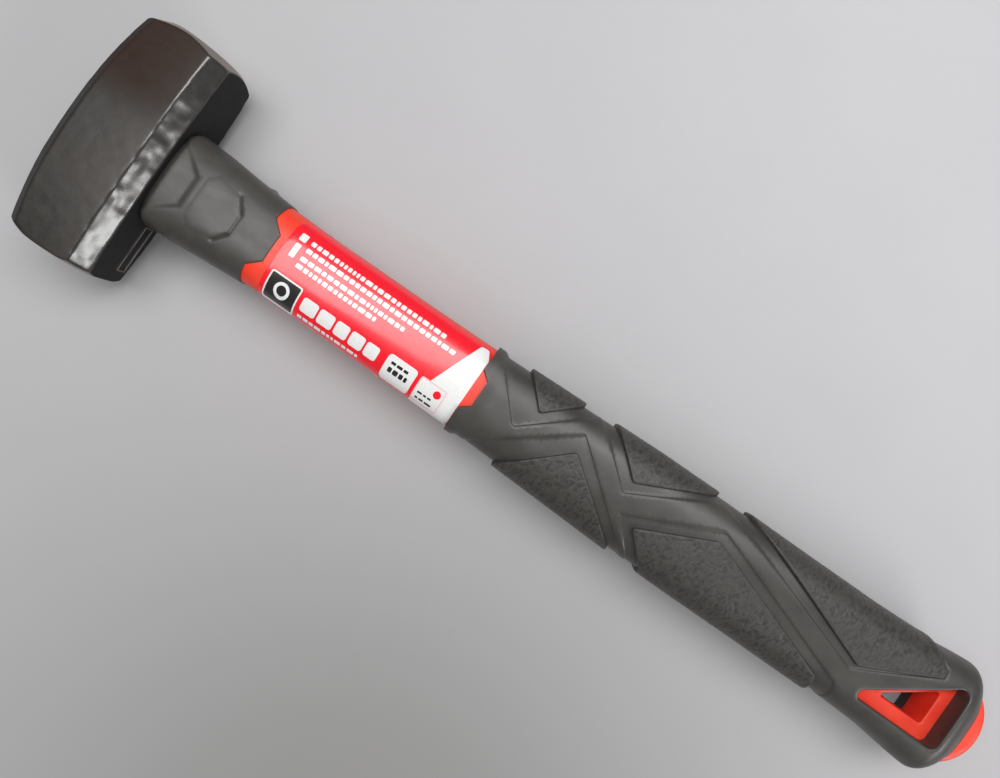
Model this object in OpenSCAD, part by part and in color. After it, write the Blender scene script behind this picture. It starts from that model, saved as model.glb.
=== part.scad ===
// Lump hammer: a forged octagonal head bonded to a glass-fibre handle that is moulded over
// with a hard sleeve and a soft grip.
// The hammer lies on its side. +X runs from the head to the butt, +Y along the head, +Z up.
// The origin is on the surface that it lies on, under the middle of its length and width.

/* [Head] */
// Height of the head along the handle, at its middle
head_height = 32.3; // [30:0.1:36]
// Length of the head over both crowned faces
head_length = 78.4; // [70:0.1:84]
// Thickness of the head across the cheeks, at its middle
head_thickness = 31.5; // [30:0.1:34]
// How much each cheek draws in at the striking faces
cheek_taper = 2.0; // [0:0.1:2.5]
// How much the top draws in at the striking faces
top_taper = 3.8; // [0:0.1:5]
// Width of the long bevels, measured along each side
bevel = 5.0; // [3:0.1:6]
// Length of the untapered middle of each cheek
flat_zone = 24; // [16:1:30]
// Tilt of each striking face towards the handle, in degrees
face_tilt = 1.0; // [0:0.5:8]
// Crown radius of the striking faces
crown_radius = 115; // [80:5:200]
// Slope of the turned bevel round each striking face, in degrees
rim_slope = 29; // [20:1:45]
// Radius on the upper striking face, at +Y, where its turned bevel starts
upper_rim = 11.9; // [11:0.1:15]
// Radius on the lower striking face, at -Y, where its turned bevel starts
lower_rim = 14.6; // [11:0.1:15]

/* [Eye and core] */
// Width of the eye at the underside of the head
eye_width = 24; // [22:0.5:25]
// Thickness of the eye at the underside of the head
eye_thickness = 16; // [14:0.5:17]
// How much the eye widens towards the top of the head
eye_flare = 1.8; // [0:0.1:2]
// Width of the glass-fibre core
core_width = 19; // [17:0.5:20]
// Thickness of the glass-fibre core
core_thickness = 12; // [10:0.5:12.5]
// Depth of the resin's surface below the top of the head
resin_sunk = 1.2; // [0.8:0.1:2]
// Depth of the core's end below the resin's surface
core_sunk = 2.0; // [1:0.1:4]

/* [Handle] */
// Length of the rubber collar below the head
collar_length = 36.4; // [34:0.1:44]
// Length of the hard sleeve that shows between collar and grip
window_length = 76.6; // [60:0.1:90]
// Length of the soft grip
grip_length = 181.6; // [165:0.1:200]
// How far the hard sleeve's end stands out of the butt
butt_proud = 5.7; // [3:0.1:6.5]
// How far the textured pads stand out of the grip
pad_proud = 1.1; // [0.6:0.1:1.5]
// Depth of the pads' seats in the grip
pad_seat = 0.9; // [0.5:0.1:1.2]
// How far the collar's moulded panels stand out
panel_proud = 0.5; // [0.3:0.1:0.8]

/* [Hanging loop] */
// Thickness of the hard web round the hanging hole
web_thickness = 11; // [8:0.5:13]
// Length of the hanging hole along the handle
hang_length = 17.8; // [16:0.1:18.5]
// Width of the hanging hole across the handle
hang_width = 12.2; // [11:0.1:12.8]

/* [Label] */
// Thickness of the printed label
label_thickness = 0.15; // [0.1:0.05:0.3]
// Length of the printed label
label_length = 70.2; // [40:0.1:70.5]

/* [Hidden] */

overall_length = head_height + collar_length + window_length + grip_length + butt_proud;
mid_z = head_thickness / 2;
beyond = 30;      // reaches past every outline
clear = 1;        // reaches past a face that is cut through
sides = 32;       // points round each handle section

// Distances along the handle from the top of the head.
collar_start = head_height;
window_start = collar_start + collar_length;
grip_start = window_start + window_length;
grip_end = grip_start + grip_length;

half_length = head_length / 2;

// The grip's shapes are drawn for this length of grip, and stretched to the one that is set.
grip_drawn = 181.6;
function on_grip(x) = grip_start + x * grip_length / grip_drawn;

// Distances from the grip's front end: where the core stops, where the hard tube round it
// stops, and where the web round the hanging hole starts.
core_reach = 136;
tube_reach = 140;
web_reach = 136;

// The sleeve where the rubber covers it.
inner_width = 23;
inner_thickness = 15.5;

// ---------------------------------------------------------------- placing

// Sets a shape that is drawn with X measured from the top of the head, and Y and Z from the
// handle's axis, in the part's own frame.
module place() {
    translate([-overall_length / 2, 0, mid_z]) children();
}

// Turns a shape drawn in X and Y with its height along Z so that its height runs along X.
module along_x(start) {
    translate([start, 0, 0]) rotate([90, 0, 90]) children();
}

// Extrudes a plan outline right through the hammer.
module through(height = 2 * beyond) {
    translate([0, 0, -height / 2]) linear_extrude(height = height) children();
}

// ---------------------------------------------------------------- outlines

function unit(v) = v / norm(v);

// Points of the arc of the given radius that rounds the corner at b between a and c.
function corner_arc(a, b, c, r, steps = 6) =
    r <= 0 ? [b] :
    let (u = unit(a - b), w = unit(c - b),
         half = acos(u * w) / 2,
         centre = b + unit(u + w) * r / sin(half),
         from = b + u * r / tan(half) - centre,
         to = b + w * r / tan(half) - centre,
         start = atan2(from.y, from.x),
         turn = atan2(from.x * to.y - from.y * to.x, from * to))
    [for (i = [0:steps]) centre + r * [cos(start + turn * i / steps), sin(start + turn * i / steps)]];

// An outline whose corners are rounded. Each point is [x, y, radius].
function rounded(points) =
    let (n = len(points), xy = [for (p = points) [p.x, p.y]])
    [for (i = [0:n - 1])
        each corner_arc(xy[(i + n - 1) % n], xy[i], xy[(i + 1) % n], points[i].z)];

module stadium(width, thickness) {
    reach = (width - thickness) / 2;
    square([2 * reach, thickness], center = true);
    for (side = [-1, 1]) translate([side * reach, 0]) circle(d = thickness, $fn = 48);
}

// ---------------------------------------------------------------- lofted sections

// A ring of points on the superellipse with half width a, half thickness b and exponent n.
function section(x, a, b, n) =
    [for (i = [0:sides - 1])
        let (t = 360 * i / sides, c = cos(t), s = sin(t))
        [x, a * sign(c) * pow(abs(c), 2 / n), b * sign(s) * pow(abs(s), 2 / n)]];

// A closed solid through rings at the given stations, from tables of half width and half
// thickness by station, swelled by grow all round.
module loft(stations, widths, thicknesses, n, grow = 0) {
    rings = [for (x = stations)
        section(x, lookup(x, widths) + grow, lookup(x, thicknesses) + grow, n)];
    last = len(rings) - 1;
    points = [for (ring = rings) each ring];
    walls = [for (j = [0:last - 1], i = [0:sides - 1])
        let (k = (i + 1) % sides)
        each [[j * sides + i, (j + 1) * sides + i, j * sides + k],
              [j * sides + k, (j + 1) * sides + i, (j + 1) * sides + k]]];
    polyhedron(points = points, convexity = 4, faces = concat(
        [[for (i = [0:sides - 1]) i]],
        walls,
        [[for (i = [sides - 1:-1:0]) last * sides + i]]));
}

// ---------------------------------------------------------------- head

// How far each cheek, and the top, has drawn in at a distance from the middle of the head.
function cheek_drop(y) =
    cheek_taper * pow(max(0, abs(y) - flat_zone / 2) / (half_length - flat_zone / 2), 2);
function top_drop(y) = top_taper * pow(y / half_length, 2);

// One edge of a slab of the head, from end to end, which draws in with a share of the cheeks'
// taper and a share of the top's.
edge_steps = 16;
edge_reach = half_length + 4;
function edge(distance, cheek, top) =
    [for (i = [-edge_steps:edge_steps])
        let (y = edge_reach * i / edge_steps)
        [y, distance - cheek * cheek_drop(y) - top * top_drop(y)]];

// The part of the head between a low and a high edge, across its middle.
module slab(low, high) {
    last = len(high) - 1;
    translate([-beyond, 0, 0]) rotate([90, 0, 90]) linear_extrude(height = 2 * beyond)
        polygon(concat([for (p = low) [p.x, -p.y]], [for (i = [last:-1:0]) high[i]]));
}

// The solid that bounds one striking face: its crown, and the bevel turned round it.
// It stands on the origin and faces +Z.
module face_bound(rim_radius) {
    depth = half_length;
    crown_drop = crown_radius - sqrt(pow(crown_radius, 2) - pow(rim_radius, 2));
    reach = beyond + 5;
    outer_drop = crown_drop + (reach - rim_radius) * tan(rim_slope);
    intersection() {
        translate([0, 0, depth - crown_radius]) sphere(r = crown_radius, $fn = 128);
        rotate_extrude($fn = 96) polygon([
            [0, -depth], [reach, -depth], [reach, depth - outer_drop],
            [rim_radius, depth - crown_drop], [0, depth - crown_drop + rim_radius * tan(rim_slope)]]);
    }
}

// The eye, which flares towards the top of the head, from one station to another.
module eye(from, to) {
    reach = (eye_width - eye_thickness) / 2;
    function radius(x) = eye_thickness / 2 + eye_flare / 2 * (1 - x / head_height);
    for (side = [-1, 1]) along_x(from) translate([side * reach, 0, 0])
        cylinder(h = to - from, r1 = radius(from), r2 = radius(to), $fn = 64);
    translate([0, reach, 0]) rotate([90, 0, 0]) linear_extrude(height = 2 * reach)
        polygon([[from, -radius(from)], [to, -radius(to)], [to, radius(to)], [from, radius(from)]]);
}

// A blank raised frame on the underside, where a forge puts its mark.
module mark_frame() {
    size = [17, 5];
    middle = [-25.5, -4.75];
    wall = 0.7;
    proud = 0.35;
    translate([head_height, middle.x, middle.y]) difference() {
        cube([2 * proud, size.x, size.y], center = true);
        cube([3 * proud, size.x - 2 * wall, size.y - 2 * wall], center = true);
    }
}

module head() color([0.16, 0.15, 0.14]) place() {
    middle = head_height / 2;
    share = sqrt(0.5);      // of a taper that shows across a long bevel
    to_bevel = (head_height + head_thickness - 2 * bevel) * share / 2;
    top_bevel = edge(to_bevel, share, share);
    under_bevel = edge(to_bevel, share, 0);
    cheek = edge(head_thickness / 2, 1, 0);
    difference() {
        union() {
            intersection() {
                translate([middle, 0, 0]) slab(cheek, cheek);
                translate([middle, 0, 0]) rotate([0, 90, 0])
                    slab(edge(middle, 0, 1), edge(middle, 0, 0));
                translate([middle, 0, 0]) rotate([0, 45, 0]) slab(top_bevel, under_bevel);
                translate([middle, 0, 0]) rotate([0, -45, 0]) slab(under_bevel, top_bevel);
                translate([middle + top_taper / 2, 0, 0]) rotate([-90, 0, -face_tilt])
                    face_bound(upper_rim);
                translate([middle + top_taper / 2, 0, 0]) rotate([90, 0, face_tilt])
                    face_bound(lower_rim);
            }
            mark_frame();
        }
        eye(-clear, head_height + clear);
    }
}

module eye_resin() color([0.62, 0.52, 0.30]) place() difference() {
    eye(resin_sunk, head_height);
    core_bar(resin_sunk + core_sunk, head_height + clear);
}

// ---------------------------------------------------------------- core and sleeve

module core_bar(from, to) {
    along_x(from) linear_extrude(height = to - from) stadium(core_width, core_thickness);
}

core_end = grip_start + core_reach;

module fibre_core() color([0.86, 0.80, 0.58]) place()
    core_bar(resin_sunk + core_sunk, core_end);

// Half widths and half thicknesses of the sleeve, by distance along the handle.
sleeve_widths = [[0, 13.8], [window_start + 20, 13.5], [grip_start - 20, 13.8],
                 [grip_start + 10, 14.4]];
sleeve_thicknesses = [[0, 9.9], [window_start + 20, 9.6], [grip_start + 10, 9.9]];
sleeve_power = 2.8;

// The part of the sleeve that shows, with its surface swelled by grow. It runs on under the
// rubber at both ends.
module sleeve_loft(grow = 0) {
    steps = 16;
    under_collar = 5;
    under_grip = 9;
    step = (under_collar + window_length + under_grip) / steps;
    loft([for (i = [0:steps]) window_start - under_collar + i * step],
         sleeve_widths, sleeve_thicknesses, sleeve_power, grow);
}

// Plan outline of the window in the rubber: the collar's tongue reaches into it at the front,
// and the sleeve's tongue reaches out of it into the grip. Each tongue is given as its length
// and its half widths at the root and the tip.
collar_tongue = [4.2, 8.4, 4.7];
sleeve_tongue = [3.1, 7.0, 4.4];
module window_plan() {
    front_tip = window_start + collar_tongue[0];
    rear_tip = grip_start + sleeve_tongue[0];
    polygon([[window_start, beyond], [window_start, collar_tongue[1]],
             [front_tip, collar_tongue[2]], [front_tip, -collar_tongue[2]],
             [window_start, -collar_tongue[1]], [window_start, -beyond],
             [grip_start, -beyond], [grip_start, -sleeve_tongue[1]],
             [rear_tip, -sleeve_tongue[2]], [rear_tip, sleeve_tongue[2]],
             [grip_start, sleeve_tongue[1]], [grip_start, beyond]]);
}

// A right-angled triangle with rounded corners: the places of its tip and its right edge along
// the grip, and of its low and high ends across it.
function triangle(tip, right, low, high, r) =
    rounded([[on_grip(tip), low, r], [on_grip(right), low, r], [on_grip(right), high, r]]);

hang_right = 170.3;
hang_low = -5.2;
hang_corner = 0.8;

module hang_plan() polygon(triangle(hang_right - hang_length, hang_right,
                                    hang_low, hang_low + hang_width, hang_corner));

// Plan outline of the web round the hanging hole, which ends in the arc that shows at the butt.
module loop_plan() {
    front_half = 9;
    wide_half = 13.5;
    end_half = 14;
    arc_half = 11.8;
    steps = 8;
    web_start = on_grip(web_reach);
    web_wide = on_grip(web_reach + 10);
    web_end = on_grip(176);
    radius = (pow(arc_half, 2) + pow(butt_proud, 2)) / (2 * butt_proud);
    turn = asin(arc_half / radius) / steps;
    centre = grip_end + butt_proud - radius;
    polygon(concat(
        [[web_start, front_half], [web_start, -front_half],
         [web_wide, -wide_half], [web_end, -end_half]],
        [for (i = [-steps:steps]) [centre + radius * cos(turn * i), radius * sin(turn * i)]],
        [[web_end, end_half], [web_wide, wide_half]]));
}

module sleeve_solid() {
    along_x(head_height) linear_extrude(height = grip_start + tube_reach - head_height)
        stadium(inner_width, inner_thickness);
    intersection() {
        sleeve_loft();
        through() window_plan();
    }
    difference() {
        through(web_thickness) loop_plan();
        through() hang_plan();
    }
}

module sleeve() color([0.85, 0.12, 0.08]) place() difference() {
    sleeve_solid();
    core_bar(head_height - clear, core_end);
}

// ---------------------------------------------------------------- collar

// Half widths and half thicknesses of the collar, by distance along the handle.
collar_foot = 2;
collar_widths = [[head_height, 16.4], [head_height + collar_foot, 16.6], [head_height + 12, 16.1],
                 [head_height + 20, 15.4], [head_height + 28, 14.8], [window_start, 14.1],
                 [window_start + 6, 13.9]];
collar_thicknesses = [[head_height, 9.4], [head_height + collar_foot, 10.3],
                      [window_start + 6, 10.1]];
collar_power = 3.2;

module collar_loft(grow = 0) {
    steps = 10;
    first = head_height + collar_foot + clear;
    last = window_start + collar_tongue[0] + 0.3;
    loft(concat([head_height, head_height + collar_foot],
                [for (i = [0:steps]) first + (last - first) * i / steps]),
         collar_widths, collar_thicknesses, collar_power, grow);
}

// Plan outlines of the two moulded panels on each face of the collar.
module front_panel_plan() {
    translate([head_height, 0]) polygon([[1.5, -13], [3, -12.5], [12.3, -5.4], [12.3, 5.4],
                                         [3, 12.5], [1.5, 13]]);
}

module middle_panel_plan() {
    translate([head_height, 0]) polygon([[13.8, -5.8], [17.5, -9.2], [24.3, -9.2], [29, -4],
                                         [29, 4], [24.3, 9.2], [17.5, 9.2], [13.8, 5.8]]);
}

module collar() color([0.13, 0.12, 0.12]) place() difference() {
    union() {
        collar_loft();
        intersection() {
            collar_loft(panel_proud);
            union() {
                through() front_panel_plan();
                through() middle_panel_plan();
            }
        }
    }
    through() window_plan();
    along_x(head_height - clear) linear_extrude(height = collar_length + 10)
        stadium(inner_width, inner_thickness);
}

// ---------------------------------------------------------------- grip and pads

// Half widths and half thicknesses of the grip, by distance from its front end.
grip_widths = [for (p = [[0, 15.4], [2.4, 15.4], [3.2, 14.5], [10, 14.7], [38, 15.6],
                         [60, 16.3], [86, 16.5], [108, 16.3], [140, 16.3], [155, 16.8],
                         [168, 18.4], [173.5, 18.9], [175.5, 18.4], [177.5, 16.9],
                         [179.9, 14.4], [grip_drawn, 12.1]])
               [on_grip(p.x), p.y]];
grip_thicknesses = [for (p = [[0, 11.2], [2.4, 11.2], [3.2, 10.3], [40, 10.9], [90, 11.3],
                              [140, 11.6], [165, 12.2], [172, 12.5], [175.5, 12.0],
                              [177.5, 11.2], [179.9, 9.4], [grip_drawn, 7.4]])
                    [on_grip(p.x), p.y]];
grip_power = 2.8;

module grip_loft(grow = 0) {
    lip = 3.2;
    stations = concat([-clear, 2.4, lip], [for (i = [1:17]) lip + i * 10],
                      [175.5, 177, 178.5, 179.9, 180.9, grip_drawn]);
    loft([for (x = stations) on_grip(x)],
         grip_widths, grip_thicknesses, grip_power, grow);
}

// Plan outlines of the pads, in front-to-rear order on each edge, drawn as
// [distance from the grip's front end, offset from the axis, corner radius].
pads_upper = [
    [[6.9, 20, 0], [20.8, 5.4, 1], [37, 20, 0]],
    [[38.4, 20, 0], [55.3, 4.5, 1.5], [88.5, 20, 0]],
    [[82.6, 20, 0], [140, -1.7, 1.5], [163.2, 9.6, 1.2], [163.4, 12.5, 1.2], [155, 20, 0]]];
pads_lower = [
    [[12.4, -20, 0], [66.8, -20, 0], [36.7, 2.6, 1.2]],
    [[77.8, -20, 0], [137, -20, 0], [132.5, -11, 1.5], [86.3, 5.1, 2], [62.4, -6.4, 0.8]]];

module pad_plan(pad) polygon(rounded(
    [for (p = pad) [on_grip(p.x), p.y, p.z]]));

module pad(outline) color([0.10, 0.10, 0.10]) place() difference() {
    intersection() {
        grip_loft(pad_proud);
        through() pad_plan(outline);
    }
    grip_loft(-pad_seat);
}

// The opening in the grip shows the web's edge on the upper side only.
mouth_along = [139, 173];
mouth_across = [-9.5, 13.3];
mouth_corner = 2;
module loop_opening() {
    linear_extrude(height = beyond) polygon(
        triangle(mouth_along[0], mouth_along[1], mouth_across[0], mouth_across[1], mouth_corner));
    through() hang_plan();
}

module grip() color([0.14, 0.13, 0.13]) place() difference() {
    grip_loft();
    for (outline = concat(pads_upper, pads_lower))
        difference() {
            through() pad_plan(outline);
            grip_loft(-pad_seat);
        }
    through() window_plan();
    loop_opening();
    along_x(grip_start - clear) linear_extrude(height = tube_reach + clear)
        stadium(inner_width, inner_thickness);
    through(web_thickness) loop_plan();
}

// ---------------------------------------------------------------- label

label_start = window_start + 6.3;
label_end = label_start + label_length;
label_edge = 12.9;      // its upper edge, from the axis
label_bottom = 0.5;     // how far round the lower side it stops, above the axis

module label() color([0.90, 0.05, 0.08]) place() difference() {
    intersection() {
        sleeve_loft(label_thickness);
        through() polygon(rounded([[label_start, -beyond, 0], [label_end, -beyond, 0],
                                   [label_end, label_edge, 2.5], [label_start, label_edge, 4]]));
        translate([0, -beyond, label_bottom]) cube([overall_length, 2 * beyond, beyond]);
    }
    sleeve_loft();
}

// ---------------------------------------------------------------- nodes

head();
eye_resin();
fibre_core();
sleeve();
collar();
grip();
pad(pads_upper[0]);  // pad_upper_front
pad(pads_upper[1]);  // pad_upper_middle
pad(pads_upper[2]);  // pad_upper_rear
pad(pads_lower[0]);  // pad_lower_front
pad(pads_lower[1]);  // pad_lower_rear
label();
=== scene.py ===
"""Looks of the lump hammer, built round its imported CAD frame.

Shapes are worked out in the hammer's own millimetres: X from the top of the head along the
handle, Y and Z from the handle's axis. new_piece() sets them in the frame's metres.
"""
import math

import bpy
import numpy as np
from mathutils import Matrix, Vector, kdtree
from mathutils.geometry import delaunay_2d_cdt


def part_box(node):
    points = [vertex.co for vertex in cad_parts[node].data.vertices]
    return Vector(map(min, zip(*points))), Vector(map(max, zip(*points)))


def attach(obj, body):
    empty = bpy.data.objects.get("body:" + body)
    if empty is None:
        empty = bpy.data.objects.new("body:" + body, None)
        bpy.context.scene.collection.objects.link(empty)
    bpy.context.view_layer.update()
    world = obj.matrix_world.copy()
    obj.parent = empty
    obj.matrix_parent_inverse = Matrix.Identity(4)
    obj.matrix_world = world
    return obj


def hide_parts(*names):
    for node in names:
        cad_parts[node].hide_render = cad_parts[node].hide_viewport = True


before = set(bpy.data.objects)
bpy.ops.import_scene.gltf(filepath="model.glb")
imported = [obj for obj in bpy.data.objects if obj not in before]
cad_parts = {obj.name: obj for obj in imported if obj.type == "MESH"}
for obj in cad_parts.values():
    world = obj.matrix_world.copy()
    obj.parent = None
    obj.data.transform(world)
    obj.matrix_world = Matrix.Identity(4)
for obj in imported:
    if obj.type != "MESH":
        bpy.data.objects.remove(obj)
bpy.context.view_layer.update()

# ------------------------------------------------------------------ driving dimensions, mm

MM = 0.001
HEAD_LOW, HEAD_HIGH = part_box("head")
ORIGIN = np.array([HEAD_LOW.x, 0.0, (HEAD_LOW.z + HEAD_HIGH.z) / 2])


def station(x):
    """Distance from the top of the head of a place on the frame's X axis."""
    return (x - HEAD_LOW.x) / MM


TONGUE = 4.2
HEAD_END = station(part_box("collar")[0].x)
TONGUE_END = station(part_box("collar")[1].x)
WINDOW_START = TONGUE_END - TONGUE
GRIP_START = station(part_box("grip")[0].x)
GRIP_END = station(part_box("grip")[1].x)
BUTT_END = station(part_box("sleeve")[1].x)
LABEL_START, LABEL_END = (station(corner.x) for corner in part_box("label"))
COLLAR_FRONT = HEAD_END - 0.4
SLEEVE_FRONT = HEAD_END + 1.5
WEB_HALF = 5.5

PAD_PROUD, PAD_EDGE, PAD_SEAT = 1.1, 0.4, 0.35
GRAIN_DEPTH = 0.13
CHANNEL_DEPTH, CHANNEL_WALL = 0.3, 0.45
MOUTH_EDGE = 0.7
TOUCH = 1e-4

# ------------------------------------------------------------------ curves and outlines


def soft_curve(table, softness=1.5):
    """A function through (place, value) pairs whose corners are softened over that distance."""
    places, values = np.array(table, float).T
    x = np.arange(places[0] - 8 * softness, places[-1] + 8 * softness, 0.2)
    y = np.interp(x, places, values)
    reach = np.arange(-4 * softness, 4 * softness + 0.1, 0.2)
    weight = np.exp(-0.5 * (reach / softness) ** 2)
    y = np.convolve(np.pad(y, len(reach) // 2, mode="edge"), weight / weight.sum(), "valid")
    return lambda place: np.interp(place, x, y[:len(x)])


def corner_arc(before, corner, after, radius):
    """Points of the arc that rounds a corner."""
    u = (before - corner) / np.linalg.norm(before - corner)
    w = (after - corner) / np.linalg.norm(after - corner)
    half = math.acos(float(np.clip(u @ w, -1, 1))) / 2
    bisector = (u + w) / np.linalg.norm(u + w)
    centre = corner + bisector * radius / math.sin(half)
    first = corner + u * radius / math.tan(half) - centre
    last = corner + w * radius / math.tan(half) - centre
    start = math.atan2(first[1], first[0])
    turn = math.atan2(first[0] * last[1] - first[1] * last[0], first @ last)
    angles = start + turn * np.linspace(0, 1, 9)
    return centre + radius * np.stack([np.cos(angles), np.sin(angles)], axis=1)


def evenly(line, step):
    """The line with points added so that no stretch is longer than step."""
    out = [line[:1]]
    for a, b in zip(line[:-1], line[1:]):
        count = max(1, math.ceil(np.linalg.norm(b - a) / step))
        out.append(a + (b - a) * np.linspace(0, 1, count + 1)[1:, None])
    return np.concatenate(out)


def closed(loop):
    return np.concatenate([loop, loop[:1]])


def outline(corners, step=0.5):
    """Closed outline through (x, y, corner radius), counter-clockwise, with its last point free."""
    corners = np.array(corners, float)
    xy, out = corners[:, :2], []
    for i, (_, _, radius) in enumerate(corners):
        before, after = xy[i - 1], xy[(i + 1) % len(xy)]
        out.append(corner_arc(before, xy[i], after, radius) if radius else xy[i:i + 1])
    loop = evenly(closed(np.concatenate(out)), step)[:-1]
    return loop if area(loop) > 0 else loop[::-1]


def area(loop):
    x, y = loop.T
    return 0.5 * float(np.sum(x * np.roll(y, -1) - y * np.roll(x, -1)))


def mitred(corners, distance):
    """The corners of a convex outline, moved out by a distance with its corners kept sharp."""
    xy = np.array([c[:2] for c in corners], float)
    turn = 1 if area(xy) > 0 else -1
    out = []
    for i, (_, _, radius) in enumerate(corners):
        into = xy[i] - xy[i - 1]
        away = xy[(i + 1) % len(xy)] - xy[i]
        into, away = into / np.linalg.norm(into), away / np.linalg.norm(away)
        n1 = turn * np.array([into[1], -into[0]])
        n2 = turn * np.array([away[1], -away[0]])
        shift = (n1 + n2) / (1 + n1 @ n2) * distance
        out.append((*(xy[i] + shift), 0.4 if radius else 0))
    return out


def inside_distance(points, loop):
    """Distance of each point inside a closed outline, negative outside it."""
    a, b = loop, np.roll(loop, -1, axis=0)
    run = b - a
    length = np.maximum((run ** 2).sum(axis=1), 1e-12)
    out = np.full(len(points), -99.0)
    low, high = loop.min(axis=0) - 5, loop.max(axis=0) + 5
    near = np.flatnonzero(np.all((points > low) & (points < high), axis=1))
    for chunk in np.array_split(near, len(near) // 4000 + 1):
        p = points[chunk][:, None, :]
        along = np.clip(((p - a) * run).sum(axis=2) / length, 0, 1)
        gap = np.sqrt((((p - a) - along[:, :, None] * run) ** 2).sum(axis=2)).min(axis=1)
        px, py = p[:, 0, 0][:, None], p[:, 0, 1][:, None]
        straddles = (a[:, 1] > py) != (b[:, 1] > py)
        rise = np.where(run[:, 1] == 0, 1e-12, run[:, 1])
        crosses = straddles & (px < a[:, 0] + (py - a[:, 1]) * run[:, 0] / rise)
        out[chunk] = np.where(crosses.sum(axis=1) % 2 == 1, gap, -gap)
    return out


def region(rim, hole=None):
    """A test for points that lie inside a rim and outside a hole, or on either."""
    def keep(points):
        kept = inside_distance(points, rim) > -TOUCH
        if hole is not None:
            kept &= inside_distance(points, hole) < TOUCH
        return kept
    return keep


def extents(loop):
    return loop.min(axis=0), loop.max(axis=0)


def contours(loop, distances, domain):
    """Lines that follow a closed outline at distances inside it, cut to the domain."""
    edge = np.roll(loop, -1, axis=0) - np.roll(loop, 1, axis=0)
    normal = np.stack([-edge[:, 1], edge[:, 0]], axis=1) * np.sign(area(loop))
    normal /= np.maximum(np.linalg.norm(normal, axis=1), 1e-9)[:, None]
    lines = []
    for distance in distances:
        moved = closed(loop + normal * distance)
        kept = (inside_distance(moved, loop) > distance - 0.02) & domain(moved)
        ends = np.flatnonzero(np.diff(np.concatenate([[0], kept, [0]])))
        lines += [moved[first:last] for first, last in ends.reshape(-1, 2) if last - first > 1]
    return lines


def rise(distance, width):
    """0 to 1 over a width, with rounded shoulders."""
    t = np.clip(distance / width, 0, 1)
    return t * t * (3 - 2 * t)


def rounded_edge(distance, radius):
    """How far a quarter-round edge falls short of full height, at distances inside it."""
    d = np.clip(radius - distance, 0, radius)
    return radius - np.sqrt(np.maximum(radius ** 2 - d ** 2, 0))


# ------------------------------------------------------------------ noise


def lattice(cells, seed):
    """A steady random number from 0 to 1 for each whole-number cell."""
    h = (cells[..., 0] * 374761393 + cells[..., 1] * 668265263 + cells[..., 2] * 2147483647
         + seed * 1274126177).astype(np.int64)
    with np.errstate(over="ignore"):
        h = (h ^ (h >> 13)) * 1274126177
    h = (h ^ (h >> 16)) & 0xFFFFFF
    return h / float(0xFFFFFF)


def noise(points, size, seed=0):
    """Smooth noise from -1 to 1 with features of the given size, or sizes along X, Y and Z."""
    p = points / np.asarray(size, float)
    cell = np.floor(p).astype(np.int64)
    f = p - cell
    f = f * f * f * (f * (f * 6 - 15) + 10)
    total = np.zeros(len(p))
    for dx in (0, 1):
        for dy in (0, 1):
            for dz in (0, 1):
                weight = (np.where(dx, f[:, 0], 1 - f[:, 0])
                          * np.where(dy, f[:, 1], 1 - f[:, 1])
                          * np.where(dz, f[:, 2], 1 - f[:, 2]))
                total += weight * lattice(cell + [dx, dy, dz], seed)
    return total * 2 - 1


# ------------------------------------------------------------------ flat meshes


def triangulate(lines, spacing, low, high, keep):
    """Triangles over a flat region whose edges follow the lines, with about that spacing."""
    tree = kdtree.KDTree(sum(len(line) for line in lines))
    coords, edges = [], []
    for line in lines:
        first = len(coords)
        for i, (x, y) in enumerate(line):
            tree.insert((x, y, 0), first + i)
            coords.append(Vector((x, y)))
        edges.extend((first + i, first + i + 1) for i in range(len(line) - 1))
    tree.balance()
    rows = np.arange(low[1] + spacing / 2, high[1], spacing * 0.866)
    for j, y in enumerate(rows):
        xs = np.arange(low[0] + spacing * (0.5 + 0.5 * (j % 2)), high[0], spacing)
        seeds = np.stack([xs, np.full(len(xs), y)], axis=1)
        for x, y in seeds[keep(seeds)]:
            if tree.find((x, y, 0))[2] > 0.6 * spacing:
                coords.append(Vector((x, y)))
    points, _, faces, *_ = delaunay_2d_cdt(coords, edges, [], 0, 1e-5)
    points = np.array([tuple(p) for p in points])
    faces = np.array(faces)
    a, b, c = (points[faces[:, i]] for i in range(3))
    turn = (b - a)[:, 0] * (c - a)[:, 1] - (b - a)[:, 1] * (c - a)[:, 0]
    faces[turn < 0] = faces[turn < 0][:, ::-1]
    faces = faces[(np.abs(turn) > 1e-7) & keep((a + b + c) / 3)]
    used, faces = np.unique(faces, return_inverse=True)
    return points[used], faces.reshape(-1, 3)


def rim_edges(faces):
    """Directed edges that only one triangle uses."""
    edges = np.concatenate([faces[:, [0, 1]], faces[:, [1, 2]], faces[:, [2, 0]]])
    seen = set(map(tuple, edges))
    return np.array([e for e in seen if (e[1], e[0]) not in seen])


def shell(upper, lower, faces, seam=None):
    """A closed shell from one flat mesh set at two heights, open only along the seam."""
    count = len(upper)
    rim = rim_edges(faces)
    if seam is not None:
        rim = rim[~(seam[rim[:, 0]] & seam[rim[:, 1]])]
    walls = np.stack([rim[:, 0], rim[:, 1], rim[:, 1] + count, rim[:, 0] + count], axis=1)
    polygons = [tuple(f[::-1]) for f in faces]
    polygons += [tuple(f + count) for f in faces]
    polygons += [tuple(w) for w in walls]
    return np.concatenate([upper, lower]), polygons


def mirrored(points, polygons, seam):
    """The surface and its mirror image through Z = 0, which share the points on the seam."""
    points[seam, 2] = 0.0
    other = np.arange(len(points))
    other[~seam] = len(points) + np.arange(int((~seam).sum()))
    flipped = [tuple(int(other[i]) for i in reversed(f)) for f in polygons]
    return np.concatenate([points, points[~seam] * [1, 1, -1]]), polygons + flipped


# ------------------------------------------------------------------ the handle's skins


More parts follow.
